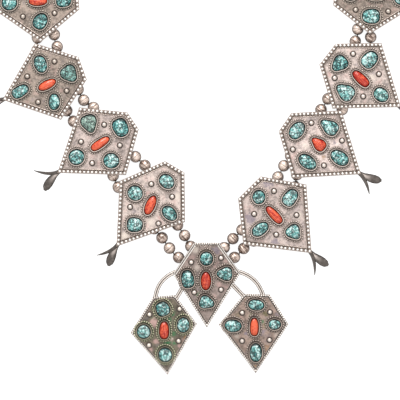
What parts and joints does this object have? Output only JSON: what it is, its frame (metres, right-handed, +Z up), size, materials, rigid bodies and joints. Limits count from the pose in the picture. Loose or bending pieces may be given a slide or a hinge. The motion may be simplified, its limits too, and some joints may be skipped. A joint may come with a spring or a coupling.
{
  "type": "squash blossom necklace",
  "caption": "Squash blossom necklace laid flat: two strands of round silver beads, five-sided silver medallions set with turquoise and coral, and a centre plate with two pendants.",
  "frame": {"origin": "on the table that it lies on, under the middle of the laid necklace's bounding box", "axes": "+Y from the centre drop towards the clasp, +Z up from the table"},
  "size_m": [0.2868, 0.3391, 0.0129],
  "materials": {
    "silver": "worn, tarnished silver sheet with bright high spots and dark crevices",
    "bead_silver": "brushed silver beads with a seam at the equator and dark bores",
    "turquoise": "polished turquoise with a dark spiderweb matrix",
    "coral": "polished orange-red coral",
    "thread": "dark waxed thread"
  },
  "bodies": {
    "root": {"medallion_left_1": "silver", "medallion_left_2": "silver", "medallion_left_3": "silver", "medallion_left_4": "silver", "medallion_right_1": "silver", "medallion_right_2": "silver", "medallion_right_3": "silver", "medallion_right_4": "silver", "turquoise_left_1": "turquoise", "turquoise_left_2": "turquoise", "turquoise_left_3": "turquoise", "turquoise_left_4": "turquoise", "turquoise_right_1": "turquoise", "turquoise_right_2": "turquoise", "turquoise_right_3": "turquoise", "turquoise_right_4": "turquoise", "coral_left_1": "coral", "coral_left_2": "coral", "coral_left_3": "coral", "coral_left_4": "coral", "coral_right_1": "coral", "coral_right_2": "coral", "coral_right_3": "coral", "coral_right_4": "coral", "centre_drop": "silver", "turquoise_centre": "turquoise", "turquoise_pendant_left": "turquoise", "turquoise_pendant_right": "turquoise", "coral_centre": "coral", "coral_pendant_left": "coral", "coral_pendant_right": "coral", "beads_inner_left": "bead_silver", "beads_inner_right": "bead_silver", "beads_outer_left": "bead_silver", "beads_outer_right": "bead_silver", "thread_inner": "thread", "thread_outer": "thread", "clasp_hook": "silver", "clasp_eye": "silver"}
  },
  "joints": []
}
